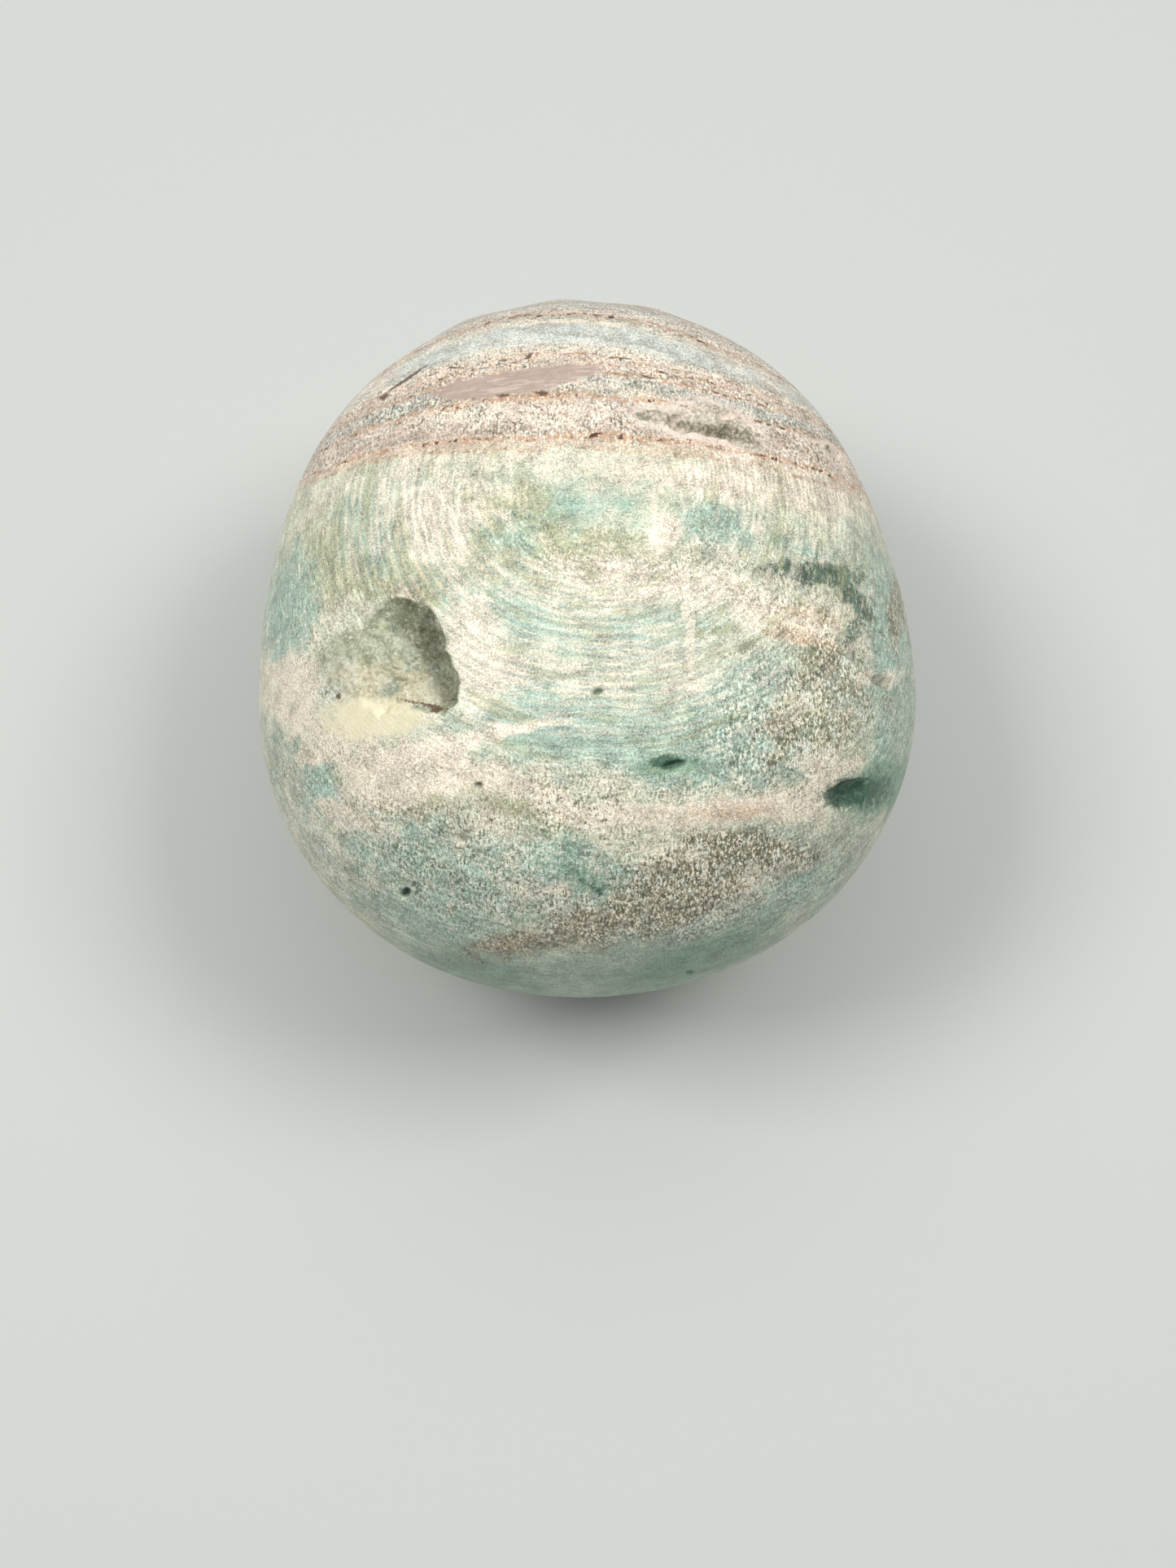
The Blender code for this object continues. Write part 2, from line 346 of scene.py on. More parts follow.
def smooth_noise(p, size, seed):
    """Smooth noise from -1 to 1 whose lumps are about size millimetres across."""
    q = p / size
    cell = np.floor(q)
    f = q - cell
    f = f * f * (3.0 - 2.0 * f)
    total = np.zeros(len(p))
    for corner in np.ndindex(2, 2, 2):
        corner = np.array(corner)
        weight = np.prod(np.where(corner, f, 1.0 - f), axis=1)
        total += weight * hashed(cell + corner, seed)
    return 2.0 * total - 1.0


def rough_noise(p, size, seed):
    """Three octaves of smooth noise."""
    first = smooth_noise(p, size, seed)
    second = smooth_noise(p, size / 2.1, seed + 1)
    third = smooth_noise(p, size / 4.3, seed + 2)
    return first + 0.5 * second + 0.25 * third


def crystal_height(p, size, seed):
    """Height, from 0 to 1, of blunt crystals about size millimetres across that crowd together."""
    q = p / size
    cell = np.floor(q)
    best = np.full(len(p), -9.0)
    for step in np.ndindex(3, 3, 3):
        there = cell + np.array(step) - 1.0
        tip = there + np.stack([hashed(there, seed + k) for k in range(3)], axis=1)
        away = q - tip
        tilt = unit(np.stack([hashed(there, seed + 3 + k) for k in range(3)], axis=1) - 0.5)
        flat = np.abs(away @ np.array([0.6, 0.64, 0.48])) + np.abs(np.sum(away * tilt, axis=1))
        height = 0.6 + 0.4 * hashed(there, seed + 6) - 0.8 * np.maximum(flat, np.abs(away).max(axis=1))
        best = np.maximum(best, height)
    return np.clip(best, 0.0, 1.0)


def picture_axes():
    """The camera's right, up and forward directions before it is aimed down."""
    azimuth = np.radians(EYE_AZIMUTH)
    elevation = np.radians(EYE_ELEVATION)
    level = np.cos(elevation)
    back = np.array([np.sin(azimuth) * level, -np.cos(azimuth) * level, np.sin(elevation)])
    right = unit(np.cross(-back, [0.0, 0.0, 1.0]))
    return right, np.cross(back, right), -back


def plan(p):
    """Millimetres across and up the carving as it is seen from above and behind, from its centre."""
    right, up, forward = picture_axes()
    q = p - (CENTRE - forward * EYE_DISTANCE)
    spread = EYE_DISTANCE / (q @ forward)
    return (q @ right) * spread, (q @ up) * spread


# Marks on the plan. Each is: across, up, half its length, half its height, degrees turned, strength.
TEAL = [
    (1.0, 15.8, 9.0, 2.6, 0, 0.48), (15.5, 13.6, 3.6, 2.4, -8, 0.9), (-7.0, 13.5, 4.5, 4.0, 0, 0.4),
    (-8.0, 4.2, 8.0, 2.2, -24, 0.7), (0.0, -9.5, 14.0, 4.0, -4, 0.85), (17.5, -5.0, 5.5, 3.0, 35, 0.85),
    (-33.0, 4.0, 2.4, 5.0, 0, 1.1), (-30.2, -14.0, 2.0, 4.0, 8, 1.5),
    (-17.0, -26.0, 11.0, 5.5, -25, 0.72), (-1.0, -25.0, 5.4, 3.0, -15, 1.3),
    (11.0, -13.4, 5.5, 2.2, 0, 1.1), (33.8, -10.6, 1.8, 3.0, 10, 0.6), (24.0, -28.0, 5.5, 2.2, 32, 0.7),
    (34.2, 1.5, 1.8, 6.0, 5, 0.9), (-21.0, 13.0, 8.0, 3.6, 5, 0.45), (-8.0, -22.5, 2.2, 1.4, 0, 0.6),
    (-14.0, -33.0, 8.0, 2.5, -22, 0.6), (9.0, 2.6, 8.0, 1.0, -3, 0.6), (16.0, -9.0, 6.0, 2.5, -10, 1.1),
    (22.0, 12.0, 8.0, 1.6, -14, 0.5),
]
DEEP = [
    (25.8, 8.5, 4.4, 0.95, -6, 1.4), (30.6, 5.6, 3.2, 0.7, -50, 1.1), (14.0, 11.2, 1.6, 0.8, -45, 0.7),
    (0.8, -26.6, 2.2, 0.6, -38, 0.65), (30.0, -16.4, 2.2, 1.2, 15, 1.2), (32.4, -16.2, 2.8, 1.6, 32, 0.7),
    (9.2, -12.7, 1.5, 0.6, 10, 1.0), (31.0, 2.6, 1.0, 3.4, -30, 0.7), (-18.8, -26.8, 0.8, 0.5, -45, 0.7),
    (-15.5, -20.5, 4.0, 1.2, -20, 0.35),
]
GREEN = [
    (33.4, -15.8, 3.4, 2.0, 35, 1.4), (9.8, -13.1, 3.8, 1.2, 0, 0.9), (13.0, -35.2, 10.0, 1.9, 20, 0.95),
    (-13.0, -36.5, 10.0, 1.4, -18, 0.7), (-0.5, -25.6, 3.6, 1.5, -30, 0.62),
]
PALE = [
    (9.2, 12.8, 1.3, 1.6, -30, 1.4), (20.0, 18.2, 15.0, 1.7, -9, 0.9), (-12.2, 0.6, 2.6, 6.4, 12, 1.0),
    (-33.0, -4.5, 3.0, 3.6, 0, 1.2), (-28.5, -10.5, 4.5, 1.6, 25, 1.0), (9.0, 7.4, 11.0, 1.8, -8, 0.7),
    (22.0, 4.4, 8.0, 1.8, -22, 0.7), (-4.0, -27.6, 3.6, 0.9, 18, 0.6), (19.5, -26.0, 3.6, 1.2, 28, 0.5),
    (-15.0, 15.0, 6.0, 2.5, 10, 0.55), (-17.0, -11.4, 7.0, 1.2, 14, 0.9),
    (26.0, -14.0, 2.4, 3.5, -20, 0.6), (33.4, -3.4, 3.0, 1.0, 0, 0.6), (28.0, -14.4, 2.6, 0.55, 28, 1.6),
    (26.2, -16.4, 0.7, 1.8, 0, 1.4), (-7.0, -9.0, 6.0, 0.5, 12, 0.6), (-16.5, 13.5, 4.2, 3.8, -50, 1.0),
    (-20.5, -15.8, 6.0, 1.6, 8, 0.9), (-26.5, -19.0, 5.0, 1.6, -12, 0.8),
]
OLIVE = [
    (-17.6, 7.4, 6.0, 1.9, -6, 1.4), (-6.0, -17.6, 5.8, 2.2, -22, 1.0), (3.0, 11.8, 7.0, 1.6, -8, 0.8),
    (10.0, 2.3, 4.5, 0.9, -4, 0.8), (26.0, -9.0, 5.0, 3.0, -15, 0.6), (-7.0, 13.4, 4.6, 4.2, 0, 1.2),
    (-3.0, 12.0, 5.0, 3.0, -25, 0.9), (-22.6, 7.8, 5.0, 1.8, -8, 1.3), (-20.8, 7.0, 4.0, 1.6, -12, 1.7),
    (-20.0, -18.0, 6.0, 1.6, 6, 0.5), (-28.5, 10.0, 2.6, 5.0, 0, 0.9), (-24.5, 16.0, 1.4, 4.0, 0, 0.6),
]
BROWN = [
    (-20.6, 6.6, 3.4, 1.1, -14, 0.75), (10.0, -27.8, 8.0, 2.3, 20, 1.2), (-7.0, -33.4, 8.0, 1.4, 8, 0.8),
    (2.0, -31.0, 8.0, 2.0, 16, 0.85), (24.0, -9.5, 5.5, 3.2, -10, 0.5), (28.5, -2.6, 4.5, 2.4, -20, 0.65),
    (19.0, -22.8, 7.0, 1.5, -4, 0.9), (35.2, 4.5, 0.8, 4.0, 0, 0.9), (8.5, -25.4, 2.0, 1.0, 30, 0.8),
]
RUST = [
    (24.6, 1.6, 3.2, 0.6, -24, 0.9), (26.0, 3.6, 4.0, 1.4, -18, 0.6), (16.5, -18.9, 6.0, 1.3, 2, 0.55),
    (-8.0, -33.2, 4.0, 0.8, 6, 0.5), (-24.5, -18.0, 3.0, 0.5, 4, 0.4),
]
# Darker grey-teal patches: partly darker stone, partly painted shade along the bottom rim and the edges at
# either side.
DARK_STONE_AND_SHADE = [
    (-14.0, -33.5, 15.0, 3.8, -22, 0.50), (8.0, -34.0, 14.0, 4.0, 14, 0.75),
    (27.0, -25.0, 9.0, 4.0, 42, 0.5), (0.0, -39.5, 34.0, 3.2, 0, 1.5), (36.0, -4.0, 2.6, 12.0, 0, 0.9),
    (-33.0, -24.0, 3.0, 5.0, -35, 0.3), (28.5, -3.4, 6.0, 3.0, -20, 0.85),
    (22.0, -12.0, 8.0, 3.6, 5, 0.85), (32.0, 10.0, 3.0, 6.0, 20, 0.5), (21.0, -23.0, 7.0, 2.4, 12, 0.75),
    (-17.0, -22.0, 7.0, 2.0, -25, 0.35), (-34.8, -10.0, 1.6, 14.0, 0, 0.5), (9.0, 2.4, 5.5, 3.2, 20, 0.7),
    (17.0, -10.0, 4.0, 2.6, 0, 0.75), (-21.5, 7.8, 4.5, 2.0, -8, 0.8),
]
GRANULAR = [
    (-6.0, -17.0, 22.0, 3.5, -6, 1.1), (-10.0, -26.0, 18.0, 6.0, -12, 0.8),
    (12.0, -27.0, 12.0, 5.0, 14, 1.3), (22.0, -8.0, 9.0, 6.0, 0, 1.1), (18.0, -17.0, 10.0, 3.0, 6, 0.8),
    (-30.0, -1.0, 4.0, 4.0, 0, 0.6), (-3.0, 8.0, 6.0, 3.5, 0, 0.5), (12.0, 9.5, 9.0, 3.0, -8, 0.5),
    (25.0, 3.0, 8.0, 3.5, -20, 0.7),
]
PALE_ABOVE = [
    (13.5, 23.0, 5.2, 0.8, -20, 1.2), (9.5, 27.3, 4.4, 0.8, -12, 1.0), (-12.0, 26.2, 4.0, 0.9, 12, 0.9),
    (-4.5, 25.4, 4.0, 0.8, 0, 0.8), (25.0, 20.5, 2.0, 0.8, -40, 0.8), (-22.4, 30.4, 5.0, 0.9, 42, 0.75),
    (0.5, 29.5, 3.0, 0.8, 0, 0.5),
]
SUGARY = [(-25.4, -1.6, 4.4, 3.6, -20, 0.8), (8.4, 25.6, 2.6, 0.5, -8, 0.8), (18.4, 23.0, 2.0, 0.8, -25, 0.8)]
GROWTH_RINGS = [
    (-3.0, -1.0, 11.0, 7.0, -10, 1.3), (-14.0, 8.0, 6.0, 7.0, 30, 1.0), (8.0, -3.0, 8.0, 4.5, 15, 0.9),
    (-23.5, 14.0, 5.0, 5.5, 0, 1.0),
]
# Dark brown lines and specks of the stone, and a painted shadow along the crease at the temple.
DARK_LINES_AND_CREASE_SHADE = [
    (-19.8, 30.1, 2.6, 0.15, 34, 0.8), (-22.2, 28.2, 0.5, 0.25, 20, 0.9),
    (-6.1, 32.6, 0.4, 0.22, 40, 1.0), (-4.6, 28.6, 0.7, 0.2, 5, 1.0), (-9.0, 28.3, 0.5, 0.2, 5, 0.9),
    (7.9, -25.0, 0.4, 0.3, 30, 0.8), (4.2, 32.7, 0.25, 0.3, 0, 0.8), (-17.8, -6.3, 3.0, 0.14, -12, 0.8),
    (-16.6, -6.8, 0.6, 0.25, -20, 1.2), (-28.8, -5.2, 0.3, 0.3, 0, 1.1),
    (-27.4, -5.3, 0.25, 0.25, 0, 1.1),
]
# Painted shade in the cavities: the overhung upper wall of the widest one, and the crack and notch.
CAVITY_SHADE = [
    (-17.6, 2.4, 1.9, 3.8, 28, 1.3), (-15.2, -4.4, 1.3, 2.0, 20, 1.0), (-20.5, 5.6, 2.0, 1.0, 10, 0.7),
    (6.6, 25.9, 1.0, 0.4, -10, 1.0), (10.9, 25.0, 1.4, 0.4, -15, 1.1), (16.6, 23.9, 3.0, 0.6, -12, 1.2),
    (27.7, 22.6, 1.6, 0.5, -30, 1.3),
]
WARM_FLOOR = [(-22.0, -4.2, 6.0, 1.9, -8, 1.1), (-19.5, -3.0, 3.0, 2.0, 0, 0.6)]
PALE_VEINS = [(12.0, 2.4, 0.5, 6.0, 3, 0.9), (9.3, 13.0, 1.1, 1.6, -30, 1.1), (8.2, 14.8, 0.4, 2.2, 10, 0.8)]
SMOOTH = [
    (-17.0, -15.6, 9.0, 1.7, -6, 1.0), (9.0, 20.0, 8.0, 1.2, -4, 0.8), (-20.0, -12.0, 6.0, 1.6, 10, 0.6),
    (14.5, -18.6, 9.0, 1.7, 2, 1.2), (-2.0, -37.5, 32.0, 3.5, 0, 1.2), (-12.2, 0.6, 2.6, 6.4, 12, 0.9),
    (-33.5, -5.0, 3.0, 5.0, 0, 1.0), (33.6, -16.0, 3.0, 3.0, 20, 0.9), (-6.0, -10.0, 12.0, 4.0, 0, 0.6),
    (2.0, 16.0, 12.0, 3.5, 0, 0.7), (-22.0, 20.0, 8.0, 3.0, 20, 0.8), (9.2, 13.0, 2.0, 3.0, -20, 1.0),
    (11.0, 27.0, 5.0, 0.7, -14, 0.9), (13.5, 22.9, 5.0, 0.7, -18, 0.9),
]

# Marks with no strength of their own: the two lenses, two thin lines and the red line under the first lens.
MAUVE_LENS = (-7.2, 29.9, 9.6, 1.3, 9)
PALE_LENS = (-23.8, -7.9, 5.7, 2.2, 0)
OLIVE_LINE = (15.5, 1.6, 4.6, 0.5, 4)
ORANGE_LINE = (24.4, 0.9, 5.4, 0.45, -13)
UNDERLINES = [(-10.5, 28.0, 6.5, 0.45, 5), (-4.5, 28.8, 2.0, 0.4, 5)]

# The middle of the wavy cream band: across and up.
PALE_BAND = [
    (-34.0, -9.5), (-28.0, -11.0), (-23.4, -12.2), (-15.4, -13.4), (-9.0, -14.8), (-4.2, -17.2),
    (0.0, -19.0), (13.0, -18.4), (27.0, -17.8),
]
PALE_BAND_HEIGHT = 1.7

# How much a mark adds where it lies over another.
OVERLAY = 0.25

# The bowl of fine growth lines hangs from here, in the row's frame.
RING_CENTRE = np.array([-2.2, -6.4, 63.6])

# The flat layers' height grows forwards, upwards and towards negative X, from 0 at the dotted line.
LAYER_FORWARD = 0.975
LAYER_UPWARD = 0.225
LAYER_SIDEWAYS = 0.1
DOTTED_LINE = 25.8
BOW_REACH = 30.0

# The marks fade out below the widest part, between these heights measured towards the camera.
VIEW_BACKWARD = 0.34
VIEW_UPWARD = 0.94
MARKS_START = 25.0
MARKS_FULL = 32.0

# Crystals on the cavities' floors, and the lumps of the polish, in millimetres.
CRYSTAL_RELIEF = 0.50
LARGE_CRYSTAL = 0.95
SMALL_CRYSTAL = 0.5
POLISH_LUMPS = 0.05

# Where the mesh is finest: a place at each cavity or pit, and how far around it.
FINE_PLACES = [
    ((18.4, 10.4, 61.5), 8.2), ((-13.0, -13.6, 61.0), 8.0), ((-24.4, 24.7, 52.0), 4.2),
    ((-28.4, -13.7, 51.2), 3.2), ((-7.4, 23.3, 61.3), 2.6), ((-0.4, 16.1, 64.2), 1.4),
    ((20.2, 30.9, 48.6), 2.2), ((12.0, 23.6, 60.0), 1.4), ((-8.7, 39.2, 37.0), 1.8),
    ((-30.2, 12.8, 51.6), 3.2), ((-25.5, 30.3, 42.2), 2.0), ((17.5, -24.3, 54.3), 3.4),
]
FACE_SPREAD = 0.80


def patch(across, up, mark):
    """How far a place is inside an oval mark: 1 at its middle, 0.5 at its edge, 0 well outside."""
    length, height, turn = mark[2], mark[3], np.radians(mark[4])
    a = (across - mark[0]) * np.cos(turn) + (up - mark[1]) * np.sin(turn)
    b = (up - mark[1]) * np.cos(turn) - (across - mark[0]) * np.sin(turn)
    return np.exp(-np.log(2.0) * ((a / length) ** 2 + (b / height) ** 2))


def patches(across, up, marks):
    """The marks together, each times its strength."""
    total = np.zeros(len(across))
    for mark in marks:
        share = mark[5] * patch(across, up, mark)
        total = np.maximum(total, share) + OVERLAY * share
    return total


def step_up(value, low, high):
    """0 below low, 1 above high, and smooth between."""
    t = np.clip((value - low) / (high - low), 0.0, 1.0)
    return t * t * (3.0 - 2.0 * t)


def layer_height(p):
    """Height in the stone's flat layers above the dotted brown line, rising towards the face."""
    height = -LAYER_FORWARD * p[:, 1] + LAYER_UPWARD * p[:, 2] - DOTTED_LINE
    bow = np.minimum(p[:, 0] ** 2, BOW_REACH**2)
    height = height - LAYER_SIDEWAYS * p[:, 0] + 0.6 + bow * (0.0022 + 0.001 * np.clip(height, 0.0, 18.0))
    return height + 0.35 * rough_noise(p * np.array([1.0, 0.6, 1.0]), 9.0, 11)


def stone_fields(p):
    """What the material reads at each vertex: the layers, the growth lines and how much of each kind."""
    true_across, true_up = plan(p)
    across = true_across + 0.8 * rough_noise(p, 7.0, 21)
    up = true_up + 0.5 * rough_noise(p, 7.0, 31)
    facing = step_up(p[:, 1] * VIEW_BACKWARD + p[:, 2] * VIEW_UPWARD, MARKS_START, MARKS_FULL)
    layer = layer_height(p)
    below = 1.0 - step_up(layer, -0.8, 0.4)
    shown = facing * below
    hidden = (1.0 - facing) * below
    band_middle = np.interp(across, *np.array(PALE_BAND, dtype=float).T)
    band = np.exp(-(((up - band_middle) / PALE_BAND_HEIGHT) ** 2)) * step_up(across, -33.0, -29.0)
    band = band * (1.0 - step_up(across, 22.0, 29.0))
    ring = np.linalg.norm(p - RING_CENTRE, axis=1) + 0.5 * rough_noise(p, 12.0, 41)
    bowl = step_up(ring, 4.0, 9.0) * (1.0 - step_up(ring, 26.0, 36.0)) * shown
    narrow = np.minimum(slot(p), side_notch(p))
    druse = 1.0 - step_up(np.minimum(scoop(p), narrow), 0.0, 0.45)
    druse = np.maximum(druse, patches(true_across, true_up, SUGARY) * facing)
    underline = sum(patch(true_across, true_up, mark) for mark in UNDERLINES)
    pale = (patches(across, up, PALE) + band) * shown + patches(across, up, PALE_ABOVE) * facing
    fibres = step_up(true_across, 6.0, 16.0) + 0.5 * step_up(-true_across, 12.0, 20.0)
    granular = patches(across, up, GRANULAR) * shown + 0.5 * hidden
    granular = granular + (layer > 0.0) * (0.85 - 0.4 * step_up(layer, 19.0, 25.0))
    in_blue_band = step_up(layer, 11.6, 12.6) * (1.0 - step_up(layer, 15.6, 16.6))
    granular = granular * (1.0 - 0.8 * in_blue_band)
    return {
        "layer": layer,
        "ring": ring,
        "bowl": bowl,
        "granular": np.clip(granular, 0.0, 1.0),
        "teal": patches(across, up, TEAL) * shown + hidden * (0.45 + 0.45 * rough_noise(p, 13.0, 51)),
        "deep": patches(true_across, true_up, DEEP) * shown,
        "green": patches(across, up, GREEN) * shown,
        "pale": pale + hidden * (0.3 + 0.4 * rough_noise(p, 10.0, 61)),
        "olive": patches(across, up, OLIVE) * shown + hidden * (0.15 + 0.35 * rough_noise(p, 11.0, 71)),
        "brown": patches(across, up, BROWN) * shown + hidden * (0.1 + 0.35 * rough_noise(p, 12.0, 81)),
        "rust": patches(across, up, RUST) * shown + underline * facing,
        "mauve": patch(true_across, true_up, MAUVE_LENS) * facing,
        "lens": patch(true_across, true_up, PALE_LENS) * facing,
        "dark_stone_and_shade": patches(across, up, DARK_STONE_AND_SHADE) * shown + hidden * (0.45 + 0.3 * rough_noise(p, 14.0, 95)),
        "rings": patches(across, up, GROWTH_RINGS) * shown * step_up(ring, 8.0, 13.0),
        "fibres": fibres * facing,
        "smooth": patches(across, up, SMOOTH) * facing,
        "olive_line": patch(true_across, up, OLIVE_LINE) * facing,
        "orange_line": patch(true_across, up, ORANGE_LINE) * facing,
        "vein": patches(true_across, true_up, PALE_VEINS) * facing,
        "cavity_shade": patches(true_across, true_up, CAVITY_SHADE) * facing,
        "warm": patches(true_across, true_up, WARM_FLOOR) * facing,
        "dark_lines_and_crease_shade": patches(true_across, true_up, DARK_LINES_AND_CREASE_SHADE) * facing,
        "druse": druse,
        "lip": 1.0 - step_up(np.abs(narrow - 0.35), 0.2, 1.1),
        "inset": np.clip(-carved_form(p), 0.0, 4.0),
    }


def fine_ball():
    """A ball of directions from the core, with finer faces over the face and finest at the cavities."""
    ball = bmesh.new()
    bmesh.ops.create_icosphere(ball, subdivisions=MESH_DENSITY, radius=1.0)
    face = unit(FACE_DIRECTION)
    for level in (1, 2):
        directions = np.array([v.co for v in ball.verts])
        chosen = (directions @ face > FACE_SPREAD) & (level == 1)
        for place, reach in FINE_PLACES:
            offset = np.array(place) - CORE
            far = np.linalg.norm(offset)
            chosen |= np.linalg.norm(directions - offset / far, axis=1) * far < reach
        edges = [e for e in ball.edges if chosen[e.verts[0].index] and chosen[e.verts[1].index]]
        bmesh.ops.subdivide_edges(ball, edges=edges, cuts=1, use_grid_fill=True)
        bmesh.ops.triangulate(ball, faces=[f for f in ball.faces if len(f.verts) > 3])
        ball.verts.index_update()
    return ball


def crystal_relief(points, directions, fields):
    """Crystals on the cavities' floors, and the faint lumps that polishing leaves elsewhere."""
    inside = fields["druse"] > 0.02
    relief = np.zeros(len(points))
    rough = crystal_height(points[inside], LARGE_CRYSTAL, 5)
    rough = rough + 0.45 * crystal_height(points[inside], SMALL_CRYSTAL, 9)
    calm = 1.0 - 0.85 * step_up(fields["lens"][inside], 0.25, 0.6)
    relief[inside] = CRYSTAL_RELIEF * (rough - 0.35) * fields["druse"][inside] * calm
    lumps = POLISH_LUMPS * rough_noise(points, 6.0, 91)
    low = step_up(points[:, 2], 1.5, 6.0)
    return points + directions * (relief + lumps * low)[:, None]


def build_skull():
    ball = fine_ball()
    directions = unit(np.array([v.co for v in ball.verts]))
    points = surface_points(directions)
    fields = stone_fields(points)
    points = crystal_relief(points, directions, fields)
    for vert, point in zip(ball.verts, points * METRES):
        vert.co = point
    mesh = bpy.data.meshes.new("polished_skull")
    ball.to_mesh(mesh)
    ball.free()
    mesh.shade_smooth()
    for name, values in fields.items():
        layer = mesh.attributes.new(name, "FLOAT", "POINT")
        layer.data.foreach_set("value", values.astype(np.float32))
    piece = bpy.data.objects.new("polished_skull", mesh)
    bpy.context.scene.collection.objects.link(piece)
    return piece


class Shader:
    """Short calls that add nodes to one material and hand back their output sockets."""

    def __init__(self, name):
        self.material = bpy.data.materials.new(name)
        self.material.use_nodes = True
        self.tree = self.material.node_tree
        self.surface = self.tree.nodes["Principled BSDF"]

    def feed(self, socket, value):
        """Join a socket to another one, or set its own value."""
        if isinstance(value, bpy.types.NodeSocket):
            self.tree.links.new(value, socket)
        elif isinstance(value, tuple):
            socket.default_value = value if len(value) == len(socket.default_value) else (*value, 1.0)
        else:
            socket.default_value = value

    def math(self, operation, a, b=0.0, c=0.0):
        """Plain arithmetic; MULTIPLY_ADD is a times b, plus c."""
        node = self.tree.nodes.new("ShaderNodeMath")
        node.operation = operation
        for socket, value in zip(node.inputs, (a, b, c)):
            self.feed(socket, value)
        return node.outputs[0]

    def vector(self, operation, a, b=None, scale=None):
        node = self.tree.nodes.new("ShaderNodeVectorMath")
        node.operation = operation
        self.feed(node.inputs[0], a)
        if b is not None:
            self.feed(node.inputs[1], b)
        if scale is not None:
            self.feed(node.inputs["Scale"], scale)
        return node.outputs["Vector"]

    def ease(self, value, low, high):
        """0 below low, 1 above high, and smooth between."""
        node = self.tree.nodes.new("ShaderNodeMapRange")
        node.interpolation_type = "SMOOTHSTEP"
        self.feed(node.inputs["Value"], value)
        node.inputs["From Min"].default_value = low
        node.inputs["From Max"].default_value = high
        return node.outputs["Result"]

    def mix(self, share, a, b):
        """From colour a to colour b; sockets 6 and 7 are the node's pair for colours."""
        node = self.tree.nodes.new("ShaderNodeMix")
        node.data_type = "RGBA"
        self.feed(node.inputs["Factor"], share)
        self.feed(node.inputs[6], a)
        self.feed(node.inputs[7], b)
        return node.outputs[2]

    def times(self, colour, factor):
        """A colour made lighter or darker by a number."""
        return self.vector("SCALE", colour, scale=factor)

    def gamma(self, colour, power):
        """A colour raised to a power, which darkens its dark parts most."""
        node = self.tree.nodes.new("ShaderNodeGamma")
        self.feed(node.inputs["Color"], colour)
        node.inputs["Gamma"].default_value = power
        return node.outputs["Color"]

    def noise(self, vector, size, detail=2.0, w=None):
        """Noise from 0 to 1, whose lumps are about size units of the vector across."""
        node = self.tree.nodes.new("ShaderNodeTexNoise")
        node.noise_dimensions = "3D" if w is None else "4D"
        self.feed(node.inputs["Vector"], vector)
        node.inputs["Scale"].default_value = 1.0 / size
        node.inputs["Detail"].default_value = detail
        if w is not None:
            self.feed(node.inputs["W"], w)
        return node.outputs["Fac"]

    def attribute(self, name):
        """One of the values that stone_fields gives each vertex."""
        node = self.tree.nodes.new("ShaderNodeAttribute")
        node.attribute_type = "GEOMETRY"
        node.attribute_name = name
        return node.outputs["Fac"]

    def bands(self, value, low, high, stops):
        """A colour for each height from low to high; stops are heights with their colours."""
        node = self.tree.nodes.new("ShaderNodeValToRGB")
        place = self.tree.nodes.new("ShaderNodeMapRange")
        self.feed(place.inputs["Value"], value)
        place.inputs["From Min"].default_value = low
        place.inputs["From Max"].default_value = high
        self.tree.links.new(place.outputs["Result"], node.inputs["Fac"])
        ramp = node.color_ramp
        while len(ramp.elements) < len(stops):
            ramp.elements.new(0.5)
        for element, (height, colour) in zip(ramp.elements, stops):
            element.position = (height - low) / (high - low)
            element.color = (*colour, 1.0)
        return node.outputs["Color"]


# The stone's colours, as light that they give back.
SAGE = (0.68, 0.69, 0.55)
WARM_WHITE = (0.88, 0.79, 0.66)
TEAL_TINT = (0.35, 0.52, 0.44)
BLUE_TINT = (0.56, 0.65, 0.60)
GREY_TEAL = (0.36, 0.47, 0.39)
DARK_TEAL = (0.045, 0.12, 0.08)
OLIVE_TINT = (0.42, 0.44, 0.27)
BROWN_GREY = (0.30, 0.26, 0.16)
RUST_TINT = (0.68, 0.44, 0.28)
DARK_BROWN = (0.12, 0.06, 0.035)
BEIGE = (0.70, 0.58, 0.46)
PINK_GREY = (0.63, 0.50, 0.42)
PINK_WHITE = (0.82, 0.69, 0.60)
ASH = (0.44, 0.42, 0.37)
COOL_ASH = (0.50, 0.53, 0.49)
PALE_BLUE = (0.64, 0.69, 0.65)
MAUVE = (0.50, 0.39, 0.34)
MAUVE_SCRATCH = (0.70, 0.58, 0.52)
CLEAR_GREEN = (0.24, 0.39, 0.28)
LENS_YELLOW = (0.84, 0.79, 0.56)
CRYSTAL_GREEN = (0.42, 0.46, 0.33)
CRYSTAL_WARM = (0.60, 0.55, 0.38)
CRYSTAL_PINK = (0.62, 0.55, 0.46)
MURKY = (0.14, 0.15, 0.08)
LIP_PINK = (0.86, 0.76, 0.68)
FLECK_WARM = (0.96, 0.87, 0.72)
FLECK_COOL = (0.84, 0.88, 0.80)
GAP = (0.15, 0.15, 0.09)
RING_CREAM = (0.78, 0.73, 0.61)
RING_BLUE = (0.45, 0.53, 0.48)
DARK_OLIVE = (0.11, 0.11, 0.06)

# Radians of the growth rings and of the upright fibres in each millimetre, and of the scratches' turn.
RING_TURNS = 6.2
FIBRE_TURNS = 14.0
SCRATCH_TURN = 0.5
SCRATCH_SCALE = (0.35, 3.4, 1.0)

